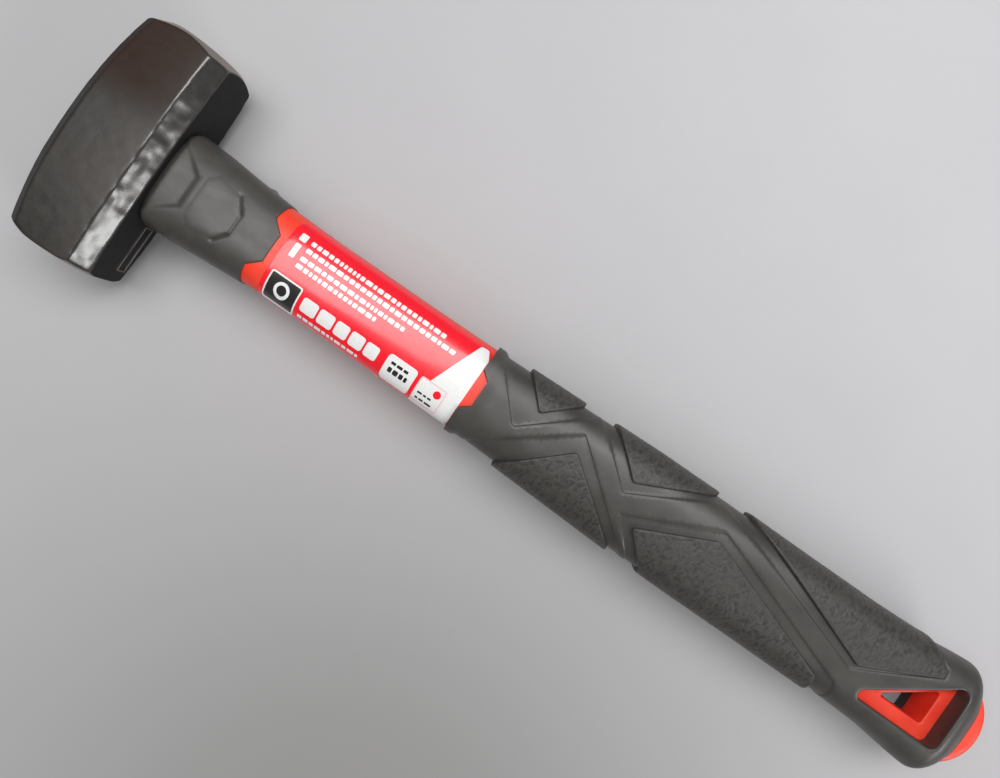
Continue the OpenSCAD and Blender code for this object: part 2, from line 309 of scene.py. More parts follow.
GIRTH_TAKEN_AT = 220
DOME_SQUARENESS = 2.35


class Skin:
    """The surface of a handle part, unrolled: X along it, S round it from +Y over the top."""

    def __init__(self, widths, thicknesses, power, dome=None):
        self.widths, self.thicknesses, self.power, self.dome = widths, thicknesses, power, dome
        t = np.pi * (1 - np.cos(np.linspace(0, np.pi, 3001))) / 2
        y, z = self.around(t, widths(GIRTH_TAKEN_AT), thicknesses(GIRTH_TAKEN_AT))
        arc = np.concatenate([[0], np.cumsum(np.hypot(np.diff(y), np.diff(z)))])
        self.table_t, self.table_s, self.girth = t, arc, arc[-1]

    def around(self, t, half_width, half_thickness):
        c, s = np.cos(t), np.sin(t)
        k = 2 / self.power
        return (half_width * np.sign(c) * np.abs(c) ** k,
                half_thickness * np.sign(s) * np.abs(s) ** k)

    def along(self, x):
        """Place along the handle, half width and half thickness. A domed end curls over."""
        width, thickness = self.widths(x), self.thicknesses(x)
        if self.dome is None:
            return x, width, thickness
        start, length, end_width, end_thickness = self.dome
        turn = np.clip((x - start) / length, 0, math.pi / 2)
        shrink = np.cos(turn) ** DOME_SQUARENESS
        return (np.where(x > start, start + length * np.sin(turn), x),
                end_width + (width - end_width) * shrink,
                end_thickness + (thickness - end_thickness) * shrink)

    def unroll(self, plan):
        """Where points of a plan view lie on the unrolled surface."""
        _, width, _ = self.along(plan[:, 0])
        c = np.clip(plan[:, 1] / width, -1, 1)
        t = np.arccos(np.sign(c) * np.abs(c) ** (self.power / 2))
        return np.stack([plan[:, 0], np.interp(t, self.table_t, self.table_s)], axis=1)

    def base(self, x, s):
        past = s > self.girth
        folded = np.where(past, 2 * self.girth - s, np.abs(s))
        t = np.interp(folded, self.table_s, self.table_t)
        place, width, thickness = self.along(x)
        y, z = self.around(t, width, thickness)
        z = np.where(past | (s < 0), -z, z)
        return np.stack([place, y, z], axis=1)

    def surface(self, flat, height=0.0):
        """Points on the surface, raised along its normal."""
        x, s = flat.T
        step = 0.15
        du = self.base(x + step, s) - self.base(x - step, s)
        dv = self.base(x, s + step) - self.base(x, s - step)
        normal = np.cross(dv, du)
        normal /= np.maximum(np.linalg.norm(normal, axis=1), 1e-9)[:, None]
        return self.base(x, s) + normal * np.reshape(height, (-1, 1))

    def on_seam(self, flat):
        return (np.abs(flat[:, 1]) < TOUCH) | (np.abs(flat[:, 1] - self.girth) < TOUCH)

    def within(self, flat):
        return (flat[:, 1] > -1e-6) & (flat[:, 1] < self.girth + 1e-6)

    def wrap(self, loop):
        """A plan outline unrolled: the run that shows, and the whole closed round the side."""
        shows = np.abs(loop[:, 1]) < self.along(loop[:, 0])[1] * 0.999
        if shows.all():
            flat = self.unroll(loop)
            return closed(flat), flat
        first = int(np.flatnonzero(shows & ~np.roll(shows, 1))[0])
        run = np.roll(loop, -first, axis=0)[:int(shows.sum())]
        edge = 0.0 if run[:, 1].mean() > 0 else self.girth
        flat = self.unroll(run)
        ends = np.array([[flat[0, 0], edge], [flat[-1, 0], edge]])
        flat = np.concatenate([ends[:1], flat, ends[1:]])
        image = flat[::-1] * [1, -1] + [0, 2 * edge]
        return flat, np.concatenate([flat, image[1:-1]])


# ------------------------------------------------------------------ pieces


def new_piece(name, points, polygons, materials, which=None, slot=None, sharp=40):
    """A mesh piece from the hammer's millimetres, which rides on the frame's only body."""
    mesh = bpy.data.meshes.new(name)
    mesh.from_pydata((points * MM + ORIGIN).tolist(), [], [list(map(int, p)) for p in polygons])
    for material in materials:
        mesh.materials.append(material)
    if which is not None:
        mesh.polygons.foreach_set("material_index", np.asarray(which, np.int32))
    mesh.validate()
    mesh.polygons.foreach_set("use_smooth", np.ones(len(mesh.polygons), bool))
    mesh.set_sharp_from_angle(angle=math.radians(sharp))
    mesh.update()
    piece = new_object(name, mesh)
    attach(piece, "root")
    return piece


def new_object(name, data):
    thing = bpy.data.objects.new(name, data)
    bpy.context.scene.collection.objects.link(thing)
    return thing


def set_layer(piece, name, values):
    """A value for each vertex, which a material reads by name."""
    layer = piece.data.attributes.new(name, "FLOAT", "POINT")
    layer.data.foreach_set("value", values[:len(piece.data.vertices)].astype(np.float32))


# ------------------------------------------------------------------ materials


class Graph:
    """A material's nodes, with one short call for each kind used here."""

    def __init__(self, name, **settings):
        self.material = bpy.data.materials.new(name)
        self.material.use_nodes = True
        self.nodes = self.material.node_tree.nodes
        self.links = self.material.node_tree.links
        self.shader = self.nodes["Principled BSDF"]
        self.place = self.nodes.new("ShaderNodeTexCoord").outputs["Object"]
        for socket, value in settings.items():
            self.shader.inputs[socket.replace("_", " ")].default_value = value

    def put(self, socket, value):
        if isinstance(value, bpy.types.NodeSocket):
            self.links.new(value, socket)
        else:
            socket.default_value = value

    def stretched(self, scale):
        node = self.nodes.new("ShaderNodeMapping")
        self.put(node.inputs["Vector"], self.place)
        node.inputs["Scale"].default_value = scale
        return node.outputs["Vector"]

    def noise(self, size_mm, detail=4.0, roughness=0.55, distortion=0.0, stretch=None):
        node = self.nodes.new("ShaderNodeTexNoise")
        self.put(node.inputs["Vector"], self.stretched(stretch) if stretch else self.place)
        node.inputs["Scale"].default_value = 1000 / size_mm
        node.inputs["Detail"].default_value = detail
        node.inputs["Roughness"].default_value = roughness
        node.inputs["Distortion"].default_value = distortion
        return node.outputs["Fac"]

    def attribute(self, name):
        node = self.nodes.new("ShaderNodeAttribute")
        node.attribute_name = name
        return node.outputs["Fac"]

    def remap(self, value, low, high, to_low=0.0, to_high=1.0):
        node = self.nodes.new("ShaderNodeMapRange")
        self.put(node.inputs["Value"], value)
        for socket, number in zip(("From Min", "From Max", "To Min", "To Max"),
                                  (low, high, to_low, to_high)):
            node.inputs[socket].default_value = number
        return node.outputs["Result"]

    def math(self, operation, a, b=0.0):
        node = self.nodes.new("ShaderNodeMath")
        node.operation = operation
        self.put(node.inputs[0], a)
        self.put(node.inputs[1], b)
        return node.outputs[0]

    def mix(self, factor, a, b):
        node = self.nodes.new("ShaderNodeMix")
        node.data_type = "RGBA"
        self.put(node.inputs["Factor"], factor)
        self.put(node.inputs["A"], a)
        self.put(node.inputs["B"], b)
        return node.outputs["Result"]

    def tones(self, factor, low, high, first, second):
        """From one screen colour to another as the factor goes from low to high."""
        return self.mix(self.remap(factor, low, high), linear(*first), linear(*second))

    def bump(self, height, distance_mm, strength=1.0, over=None):
        node = self.nodes.new("ShaderNodeBump")
        self.put(node.inputs["Height"], height)
        node.inputs["Distance"].default_value = distance_mm * MM
        node.inputs["Strength"].default_value = strength
        if over is not None:
            self.put(node.inputs["Normal"], over)
        return node.outputs["Normal"]

    def finish(self, **sockets):
        for name, value in sockets.items():
            self.put(self.shader.inputs[name.replace("_", " ")], value)
        return self.material


def linear(red, green, blue):
    """A colour given as it looks on screen, 0 to 255."""
    def one(c):
        c /= 255
        return c / 12.92 if c <= 0.04045 else ((c + 0.055) / 1.055) ** 2.4
    return (one(red), one(green), one(blue), 1.0)


def smooth_rubber():
    g = Graph("smooth_rubber", Specular_IOR_Level=0.6)
    patches = g.noise(9, 3)
    specks = g.noise(0.35, 2)
    colour = g.tones(patches, 0.35, 0.65, (60, 57, 54), (69, 66, 62))
    rough = g.remap(g.noise(5, 4, stretch=(0.4, 1, 1)), 0.3, 0.7, 0.35, 0.46)
    normal = g.bump(specks, 0.02, 0.5, over=g.bump(g.noise(3, 2), 0.06, 0.5))
    return g.finish(Base_Color=colour, Roughness=rough, Normal=normal)


def grained_rubber():
    g = Graph("grained_rubber", Specular_IOR_Level=0.5)
    height = g.attribute("grain")
    # Painted shade: the colour follows the grain's height, darker in its hollows and lighter on its
    # ridges.
    colour = g.tones(height, 0.1, 0.9, (50, 47, 45), (68, 65, 61))
    rough = g.remap(g.noise(1.2, 4), 0.3, 0.7, 0.36, 0.54)
    wrinkles = g.noise(0.5, 3, 0.6, 0.6, stretch=(1.6, 0.8, 1))
    normal = g.bump(wrinkles, 0.12, 0.8, over=g.bump(g.noise(0.25, 2), 0.03, 0.5))
    return g.finish(Base_Color=colour, Roughness=rough, Normal=normal)


def red_plastic():
    g = Graph("red_plastic", Specular_IOR_Level=0.5, Subsurface_Weight=0.08)
    g.shader.inputs["Subsurface Radius"].default_value = (0.002, 0.0005, 0.0003)
    colour = g.tones(g.noise(8, 3), 0.35, 0.65, (245, 60, 38), (252, 72, 48))
    rough = g.remap(g.noise(2.5, 4), 0.3, 0.7, 0.34, 0.46)
    normal = g.bump(g.noise(0.4, 2), 0.015, 0.5, over=g.bump(g.noise(6, 2), 0.05, 0.4))
    return g.finish(Base_Color=colour, Roughness=rough, Normal=normal)


def printed(name, colour, shade):
    """Ink on the label's film: one colour, a little uneven, under a glossy laminate."""
    g = Graph(name, Coat_Weight=0.6, Coat_Roughness=0.12, Coat_IOR=1.6)
    ink = g.tones(g.noise(0.5, 3), 0.35, 0.65, colour, shade)
    rough = g.remap(g.noise(3, 3), 0.3, 0.7, 0.24, 0.34)
    ripple = g.bump(g.noise(7, 2, stretch=(0.5, 1, 1)), 0.08, 0.5)
    return g.finish(Base_Color=ink, Roughness=rough, Normal=ripple)


# Three steel layers carry painted light: a near-black painted shade, a brown painted shade on the
# +Y side, and a painted sheen towards the handle.
STEEL_LAYERS = ("ground", "bevel", "matte_painted_shade", "brown_painted_shade", "painted_sheen")


def lacquered_steel():
    g = Graph("lacquered_steel", Specular_IOR_Level=0.5, Coat_Roughness=0.24, Coat_IOR=1.78)
    ground, bevel, matte_painted_shade, brown_painted_shade, painted_sheen = (g.attribute(name) for name in STEEL_LAYERS)
    mottle = g.noise(3.5, 6, 0.65)
    dark = g.tones(mottle, 0.35, 0.7, (36, 34, 31), (50, 47, 42))
    dark = g.mix(g.remap(g.noise(26, 2), 0.42, 0.62, 0, 0.3), dark, linear(46, 36, 30))
    # Painted shade in brown on the +Y side of the head, from its layer.
    dark = g.mix(g.math("MULTIPLY", brown_painted_shade, g.remap(mottle, 0.3, 0.6, 0.8, 1.0)), dark,
                 linear(44, 22, 9))
    # Painted sheen: a lighter colour towards the handle.
    dark = g.mix(painted_sheen, dark, linear(68, 63, 59))
    # Painted shade: near black and rougher where this layer is set.
    dark = g.mix(matte_painted_shade, dark, linear(26, 24, 26))
    rings = g.noise(0.35, 3, stretch=(1, 0.05, 1))
    bright = g.tones(rings, 0.3, 0.7, (128, 118, 110), (170, 160, 152))
    satin = g.mix(bevel, g.remap(mottle, 0.3, 0.7, 0.36, 0.5), g.remap(mottle, 0.3, 0.7, 0.2, 0.3))
    satin = g.mix(brown_painted_shade, satin, g.remap(mottle, 0.3, 0.7, 0.7, 0.8))
    satin = g.mix(matte_painted_shade, satin, g.remap(mottle, 0.3, 0.7, 0.76, 0.86))
    rough = g.mix(ground, satin, g.remap(rings, 0.3, 0.7, 0.28, 0.42))
    normal = g.bump(g.noise(0.5, 3), 0.03, 0.5, over=g.bump(g.noise(2.6, 4, 0.6), 0.12, 0.5))
    coat = g.math("MULTIPLY", g.remap(bevel, 0, 1, 0.0, 0.9), g.remap(ground, 0, 1, 1.0, 0.0))
    return g.finish(Base_Color=g.mix(ground, dark, bright), Roughness=rough, Normal=normal,
                    Metallic=g.remap(ground, 0, 1, 0.15, 0.95), Coat_Weight=coat)


def cast_resin():
    g = Graph("cast_resin", Specular_IOR_Level=0.5)
    colour = g.tones(g.noise(2.5, 4), 0.35, 0.65, (150, 122, 70), (188, 160, 104))
    normal = g.bump(g.noise(1.5, 3), 0.1, 0.6)
    return g.finish(Base_Color=colour, Roughness=g.remap(g.noise(3, 2), 0.3, 0.7, 0.2, 0.4),
                    Normal=normal)


def glass_fibre():
    g = Graph("glass_fibre", Specular_IOR_Level=0.4)
    strands = g.noise(0.5, 3, 0.6, 0.2, stretch=(0.03, 1, 1))
    colour = g.tones(strands, 0.35, 0.65, (196, 182, 130), (232, 222, 178))
    return g.finish(Base_Color=colour, Roughness=g.remap(strands, 0.3, 0.7, 0.4, 0.6),
                    Normal=g.bump(strands, 0.05, 0.6))


RUBBER = smooth_rubber()
GRAIN = grained_rubber()
RED = red_plastic()
STEEL = lacquered_steel()
FILM_RED = printed("film_red", (255, 8, 40), (248, 4, 34))
FILM_WHITE = printed("film_white", (246, 246, 244), (236, 236, 234))
FILM_BLACK = printed("film_black", (26, 24, 26), (34, 32, 34))
FILM_PALE = printed("film_pale", (250, 206, 204), (244, 196, 196))

# ------------------------------------------------------------------ grip and pads

DOME = 8.1
LIP = 3.4


def grip_curve(table, at_dome, softness):
    """A half size of the grip through (distance from its front end, value) pairs."""
    places = [(GRIP_START + x, value) for x, value in table]
    return soft_curve(places + [(GRIP_END - DOME, at_dome)], softness)


grip_skin = Skin(
    grip_curve([(0, 15.4), (2.6, 15.4), (LIP, 14.5), (10, 14.7), (38, 15.6), (60, 16.3),
                (86, 16.5), (108, 16.3), (140, 16.3), (155, 16.8), (168, 18.4)], 18.9, 0.5),
    grip_curve([(0, 10.8), (2.6, 10.8), (6, 10.4), (40, 10.9), (90, 11.3), (140, 11.6),
                (165, 12.2)], 12.5, 0.9),
    2.8, dome=(GRIP_END - DOME, DOME, 12.1, 7.4))
DOME_LENGTH = DOME * (math.pi / 2 - 1)

# Outlines in plan: distance from the grip's front end, offset from the axis, corner radius.
PADS = {
    "pad_upper_front": [(6.9, 20, 0), (20.8, 5.4, 1), (37, 20, 0)],
    "pad_upper_middle": [(38.4, 20, 0), (55.3, 4.5, 1.5), (88.5, 20, 0)],
    "pad_upper_rear": [(82.6, 20, 0), (140, -1.7, 1.5), (163.2, 9.6, 1.2), (163.4, 12.5, 1.2),
                       (155, 20, 0)],
    "pad_lower_front": [(12.4, -20, 0), (66.8, -20, 0), (36.7, 2.6, 1.2)],
    "pad_lower_rear": [(77.8, -20, 0), (137, -20, 0), (132.5, -11, 1.5), (86.3, 5.1, 2),
                       (62.4, -6.4, 0.8)],
}

# The shallow channels round the pads, in the same terms.
CHANNELS = [
    [(-3.8, 20, 0), (16.5, -2.7, 1.5), (42.9, 20, 0)],
    [(32, 20, 0), (54.6, 0.1, 1.5), (91.2, 20, 0)],
    [(67.8, 20, 0), (139, -4.0, 1.5), (164.4, 9.9, 1.2), (164.6, 13.0, 1.2), (156.4, 20, 0)],
    [(-0.8, -20, 0), (70.6, -20, 0), (35.9, 8.5, 1)],
    [(72, -20, 0), (141.4, -20, 0), (139.9, -12.0, 2), (138.2, -9.6, 2), (86.5, 8.7, 3),
     (56.6, -5.4, 1)],
]

# The opening in the grip's upper side.
MOUTH = [(141.5, -9.8, 2), (173.3, -9.8, 2), (173.3, 12.4, 2)]


def on_grip(corners):
    return [(GRIP_START + x, y, radius) for x, y, radius in corners]


HOLE = outline(on_grip(MOUTH))
# The hanging hole, through the web that the opening shows.
HANG_HOLE = on_grip([(153.4, -5.4, 0.8), (169.8, -5.4, 0.8), (169.8, 6.2, 0.8)])


def grain(points, seed):
    """Height, 0 to 1, of a leather grain of short wrinkles that lean across the handle."""
    lean = points @ np.array([[0.94, 0.34, 0], [-0.34, 0.94, 0], [0, 0, 1.0]])
    bend = np.stack([noise(points, 1.8, seed + k) for k in range(3)], axis=1)
    fine = noise(lean + bend * 0.4, (0.55, 1.2, 1.2), seed + 5)
    broad = noise(lean + bend, (1.0, 2.2, 2.2), seed + 6)
    ridges = 1 - np.abs(fine * 0.7 + broad * 0.45)
    return np.clip((ridges - 0.35) / 0.65, 0, 1)


def build_pad(name, corners, seed):
    """A grained pad: its outer face, its seat, and the wall between them."""
    run, loop = grip_skin.wrap(outline(on_grip(corners)))
    side = evenly(np.array([run[-1], run[0]]), 0.5)

    def keep(points):
        return region(loop)(points) & grip_skin.within(points)

    lines = [evenly(run, 0.45), side]
    lines += contours(loop, (0.06, 0.2, PAD_EDGE), grip_skin.within)
    flat, faces = triangulate(lines, 0.38, *extents(loop), keep)
    depth = np.maximum(inside_distance(flat, loop), 0)
    texture = grain(grip_skin.surface(flat), seed)
    fade = rise(depth - 0.25, 0.6)
    height = PAD_PROUD - rounded_edge(depth, PAD_EDGE) + (texture - 0.5) * GRAIN_DEPTH * fade
    upper = grip_skin.surface(flat, height)
    lower = grip_skin.surface(flat, -CHANNEL_DEPTH - PAD_SEAT)
    seam = grip_skin.on_seam(flat)
    both_seams = np.concatenate([seam, seam])
    points, polygons = mirrored(*shell(upper, lower, faces, seam), both_seams)
    piece = new_piece(name + "_grained", points, polygons, [GRAIN], slot="textured_elastomer",
                      sharp=60)
    grain_value = np.concatenate([texture, np.zeros(len(texture))])
    set_layer(piece, "grain", np.concatenate([grain_value, grain_value[~both_seams]]))
    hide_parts(name)


def build_grip():
    """The rubber grip, with a channel sunk round each pad and the hanging hole's mouth."""
    channels = [grip_skin.wrap(outline(on_grip(corners)))[1] for corners in CHANNELS]
    hole = grip_skin.unroll(HOLE)
    end = GRIP_END + DOME_LENGTH
    front_s, front_x = grip_front()
    front = evenly(np.stack([front_x, front_s], axis=1), 0.6)

    def keep(points):
        past_front = points[:, 0] > np.interp(points[:, 1], front_s, front_x) - TOUCH
        return (grip_skin.within(points) & (inside_distance(points, hole) < TOUCH)
                & past_front & (points[:, 0] < end + TOUCH))

    lines = [front, closed(hole)]
    for out in (0.1, 0.25, 0.45, MOUTH_EDGE):
        grown = [(x, y, 2 + out) for x, y, _ in mitred(on_grip(MOUTH), out)]
        lines.append(closed(grip_skin.unroll(outline(grown))))
    back = around_line(grip_skin, end, 90)
    lines += tube_edges(front, back) + [back]
    lines += [around_line(grip_skin, GRIP_START + x, 70)
              for x in (2.6, LIP, 4.0, 4.4, 4.8, 5.4, 6.2)]
    for channel in channels:
        lines += contours(channel, (0.0, 0.15, 0.3, CHANNEL_WALL), keep)
    flat, faces = triangulate(lines, 0.9, (GRIP_START, 0), (end, grip_skin.girth), keep)
    deep = np.max([inside_distance(flat, c) for c in channels], axis=0)
    from_hole = -inside_distance(flat, hole)
    past_lip = rise(flat[:, 0] - GRIP_START - LIP, 0.8)
    height = (-CHANNEL_DEPTH * rise(deep, CHANNEL_WALL) * past_lip
              - rounded_edge(from_hole, MOUTH_EDGE) + 0.06 * noise(grip_skin.surface(flat), 11, 3))
    seam = grip_skin.on_seam(flat)
    points, polygons = mirrored(grip_skin.surface(flat, height),
                                [tuple(f[::-1]) for f in faces], seam)
    close_grip(points, polygons, flat, faces, seam, hole)


def grip_front():
    """The grip's front edge unrolled, as places round it and distances along the handle."""
    tip, shoulder = GRIP_START + 3.1, GRIP_START
    plan = np.array([[shoulder, 13.0], [shoulder, 7.0], [tip, 4.4], [tip, -4.4],
                     [shoulder, -7.0], [shoulder, -13.0]])
    flat = grip_skin.unroll(evenly(plan, 0.5))
    s = np.concatenate([[0], flat[:, 1], [grip_skin.girth]])
    x = np.concatenate([[shoulder], flat[:, 0], [shoulder]])
    return s, x


def close_grip(points, polygons, flat, faces, seam, hole):
    """Adds the hole's walls and both end faces to the grip's skin."""
    other = np.arange(len(flat))
    other[~seam] = len(flat) + np.arange(int((~seam).sum()))
    ends = {"front": [], "back": []}
    for a, b in rim_edges(faces):
        if seam[a] and seam[b]:
            continue
        middle = (flat[a] + flat[b]) / 2
        if abs(inside_distance(middle[None], hole)[0]) < 0.3:
            polygons.append((int(other[a]), int(other[b]), int(b), int(a)))
        else:
            end = "back" if middle[0] > GRIP_END else "front"
            ends[end] += [(int(a), int(b)), (int(other[b]), int(other[a]))]
    for name, edges in ends.items():
        used = sorted({i for edge in edges for i in edge})
        ring = points[used]
        centre = ring.mean(axis=0)
        if name == "front":
            inner = ring * [1, 0.8, 0.75]
        else:
            inner = (ring - centre) * [1, 0.7, 0.5] + centre + [0.15, 0, 0]
        shrunk = {i: len(points) + k for k, i in enumerate(used)}
        points = np.concatenate([points, inner, [inner.mean(axis=0)]])
        tip = len(points) - 1
        for a, b in edges:
            polygons.append((a, b, shrunk[b], shrunk[a]))
            polygons.append((shrunk[a], shrunk[b], tip))
    piece = new_piece("grip_moulding", points, polygons, [RUBBER], slot="black_elastomer")
    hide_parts("grip")


def build_hole_floor():
    """Rubber that covers the web's edge on the lower side, down to the hanging hole."""
    lowest, edge = -10.8, 1.3
    rim = outline(mitred(on_grip(MOUTH), 0.6))
    hole = outline([(x, y, radius + 0.1) for x, y, radius in mitred(HANG_HOLE, 0.15)], 0.3)
    keep = region(rim, hole)
    lines = [closed(rim), closed(hole)] + contours(hole, (-0.15, -0.4, -0.8, -edge), keep)
    flat, faces = triangulate(lines, 0.9, *extents(rim), keep)
    from_hole = np.maximum(-inside_distance(flat, hole), 0)
    lower = np.column_stack([flat, lowest + rounded_edge(from_hole, edge)])
    upper = np.column_stack([flat, np.full(len(flat), -WEB_HALF + 0.05)])
    points, polygons = shell(upper, lower, faces)
    new_piece("grip_hole_floor", points, [tuple(reversed(f)) for f in polygons], [RUBBER],
              slot="black_elastomer")


# ------------------------------------------------------------------ collar

collar_skin = Skin(
    soft_curve([(HEAD_END, 15.0), (HEAD_END + 1.6, 16.5), (HEAD_END + 12, 16.1),
                (HEAD_END + 20, 15.4), (HEAD_END + 28, 14.8), (WINDOW_START, 14.15),
                (WINDOW_START + 6, 13.95)], 0.5),
    soft_curve([(HEAD_END, 8.6), (HEAD_END + 1.6, 10.2), (WINDOW_START + 6, 10.1)], 0.5),
    3.2)

# Panels moulded in the collar, in plan: distance from the head, offset from the axis, radius.
FRONT_PANEL = [(-4, -14, 0), (1.5, -13.0, 2), (11.2, -5.8, 1), (11.2, 5.2, 1), (1.5, 12.6, 2),
               (-4, 14, 0)]
MIDDLE_PANEL = [(13.2, -6.6, 1), (16.0, -9.4, 1.5), (24.2, -7.9, 1.5), (27.4, -3.8, 1),
                (27.4, 2.6, 1), (24.0, 7.4, 1.5), (16.0, 8.8, 1.5), (13.2, 6.2, 1)]


def sleeved(skin, flat, faces, height, wall):
    """A closed tube: a skin raised by a height, with its inside one wall below the skin."""
    seam = skin.on_seam(flat)
    half = shell(skin.surface(flat, height), skin.surface(flat, -wall), faces, seam)
    return mirrored(*half, np.concatenate([seam, seam]))


def tube_edges(first, last):
    """The two seams between a front line and a back line, both given round the skin."""
    return [evenly(np.array([first[end], last[end]]), 0.6) for end in (0, -1)]


def around_line(skin, x, count=80):
    s = np.linspace(0, skin.girth, count)
    return np.stack([np.full(count, x), s], axis=1)


def collar_back():
    """The collar's back edge unrolled: straight round the sides, with a tongue on each face."""
    tip = WINDOW_START + TONGUE
    plan = np.array([[WINDOW_START, 13.0], [WINDOW_START, 8.4], [tip, 4.7], [tip, -4.7],
                     [WINDOW_START, -8.4], [WINDOW_START, -13.0]])
    flat = collar_skin.unroll(evenly(plan, 0.4))
    ends = [[WINDOW_START, 0.0]], [[WINDOW_START, collar_skin.girth]]
    return evenly(np.concatenate([ends[0], flat, ends[1]]), 0.5)


def build_collar():
    back = collar_back()
    front = around_line(collar_skin, COLLAR_FRONT)
    loops = [collar_skin.unroll(outline([(HEAD_END + x, y, r) for x, y, r in panel]))
             for panel in (FRONT_PANEL, MIDDLE_PANEL)]

    def keep(points):
        limit = np.interp(points[:, 1], back[:, 1], back[:, 0])
        return (collar_skin.within(points) & (points[:, 0] < limit + TOUCH)
                & (points[:, 0] > COLLAR_FRONT - TOUCH))

    lines = [front, back] + tube_edges(front, back)
    lines += [around_line(collar_skin, HEAD_END + x) for x in (0.3, 0.7, 1.2, 1.8, 2.5)]
    lines += [np.clip(back - [inset, 0], [HEAD_END, 0], None) for inset in (0.12, 0.3, 0.6)]
    lines += contours(loops[0], (0.0, 0.4, 0.9, 1.5), keep)
    lines += contours(loops[1], (-0.9, -0.5, -0.25, 0.0, 0.3, 0.7), keep)
    low, high = (COLLAR_FRONT, 0), (TONGUE_END, collar_skin.girth)
    flat, faces = triangulate(lines, 0.8, low, high, keep)
    from_front, from_middle = (inside_distance(flat, loop) for loop in loops)
    back_gap = np.interp(flat[:, 1], back[:, 1], back[:, 0]) - flat[:, 0]
    place = collar_skin.surface(flat)
    cut = rise(flat[:, 0] - HEAD_END - 22.8, 2)
    cut *= 0.4 + 0.6 * rise(np.abs(place[:, 1] + 0.6) - 2.6, 1.5)
    groove = 0.45 * np.exp(-((from_middle + 0.25) / 0.35) ** 2) * cut
    nub = 0.55 * np.exp(-((flat[:, 0] - HEAD_END - 28) / 0.8) ** 2 - (flat[:, 1] / 1.6) ** 4)
    height = (-0.6 * rise(from_front + 0.2, 1.7) + 0.1 * rise(from_middle + 0.4, 1.6)
              - groove + nub - 0.6 * rounded_edge(back_gap, 0.5) + 0.05 * noise(place, 9, 5))
    piece = new_piece("collar_moulding", *sleeved(collar_skin, flat, faces, height, 1.6), [RUBBER],
                      slot="black_elastomer")
    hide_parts("collar")


# ------------------------------------------------------------------ sleeve

CORE_TUBE_END = GRIP_START + 139


def sleeve_curve(hidden, shown):
    """A half size of the sleeve: one under the rubber, four along the stretch that shows."""
    places = (WINDOW_START - 2.8, WINDOW_START + 20, GRIP_START - 20, GRIP_START + 5.8)
    return soft_curve([(HEAD_END, hidden), (WINDOW_START - 3.2, hidden), *zip(places, shown),
                       (GRIP_START + 6.2, hidden), (CORE_TUBE_END, hidden)], 0.3)


sleeve_skin = Skin(sleeve_curve(11.3, (13.8, 13.5, 13.8, 14.2)),
                   sleeve_curve(7.6, (9.9, 9.6, 9.7, 9.9)), 2.8)


def web_outline():
    """The web round the hanging hole, which ends in the arc that stands out of the butt."""
    half, proud = 11.8, BUTT_END - GRIP_END
    radius = (half ** 2 + proud ** 2) / (2 * proud)
    turn = math.asin(half / radius)
    angles = np.linspace(-turn, turn, 60)
    centre = BUTT_END - radius
    arc = np.stack([centre + radius * np.cos(angles), radius * np.sin(angles)], axis=1)
    front = np.array([[136, 9], [136, -9], [146, -13.5], [176, -14]]) + [GRIP_START, 0]
    back = np.array([[176, 14], [146, 13.5]]) + [GRIP_START, 0]
    return evenly(closed(np.concatenate([front, arc, back])), 0.5)[:-1]


def sleeve_tube():
    """The sleeve as one closed tube, wide where it shows and narrow under the rubber."""
    front = around_line(sleeve_skin, SLEEVE_FRONT, 60)
    back = around_line(sleeve_skin, CORE_TUBE_END, 60)

    def keep(points):
        return (sleeve_skin.within(points) & (points[:, 0] > SLEEVE_FRONT - TOUCH)
                & (points[:, 0] < CORE_TUBE_END + TOUCH))

    lines = [front, back] + tube_edges(front, back)
    for step in (WINDOW_START - 3, GRIP_START + 6):
        lines += [around_line(sleeve_skin, step + x) for x in (-0.9, -0.4, 0.0, 0.4, 0.9)]
    low, high = (SLEEVE_FRONT, 0), (CORE_TUBE_END, sleeve_skin.girth)
    flat, faces = triangulate(lines, 1.1, low, high, keep)
    height = 0.04 * noise(sleeve_skin.surface(flat), 14, 8)
    return sleeved(sleeve_skin, flat, faces, height, 1.5)


def sleeve_web():
    """The web as a closed plate, with rounded edges and the hanging hole through it."""
    rim_edge, hole_edge = 1.4, 0.5
    rim, hole = web_outline(), outline(HANG_HOLE, 0.3)
    keep = region(rim, hole)
    lines = [closed(rim), closed(hole)]
    lines += contours(rim, (0.1, 0.35, 0.8, rim_edge), keep)
    for out in (0.05, 0.15, 0.3, hole_edge):
        grown = [(x, y, 0.8 + out) for x, y, _ in mitred(HANG_HOLE, out)]
        lines.append(closed(outline(grown, 0.3)))
    flat, faces = triangulate(lines, 0.9, *extents(rim), keep)
    fall = np.maximum(rounded_edge(np.maximum(inside_distance(flat, rim), 0), rim_edge),
                      rounded_edge(np.maximum(-inside_distance(flat, hole), 0), hole_edge))
    ripple = 0.03 * noise(np.column_stack([flat, flat[:, :1]]), 5, 9)
    top = np.column_stack([flat, WEB_HALF - fall + ripple])
    points, polygons = shell(top, top * [1, 1, -1], faces)
    return points, [tuple(reversed(f)) for f in polygons]


def build_sleeve():
    tube, tube_faces = sleeve_tube()
    web, web_faces = sleeve_web()
    faces = tube_faces + [tuple(i + len(tube) for i in f) for f in web_faces]
    piece = new_piece("sleeve_moulding", np.concatenate([tube, web]), faces, [RED],
                      slot="red_polypropylene")
    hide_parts("sleeve")


# ------------------------------------------------------------------ label

FILM = 0.16
INKS = {"red": 0, "white": 1, "black": 2, "pale": 3}


def rectangle(x0, x1, y0, y1, radius=0.0):
    return [(x0, y0, radius), (x1, y0, radius), (x1, y1, radius), (x0, y1, radius)]


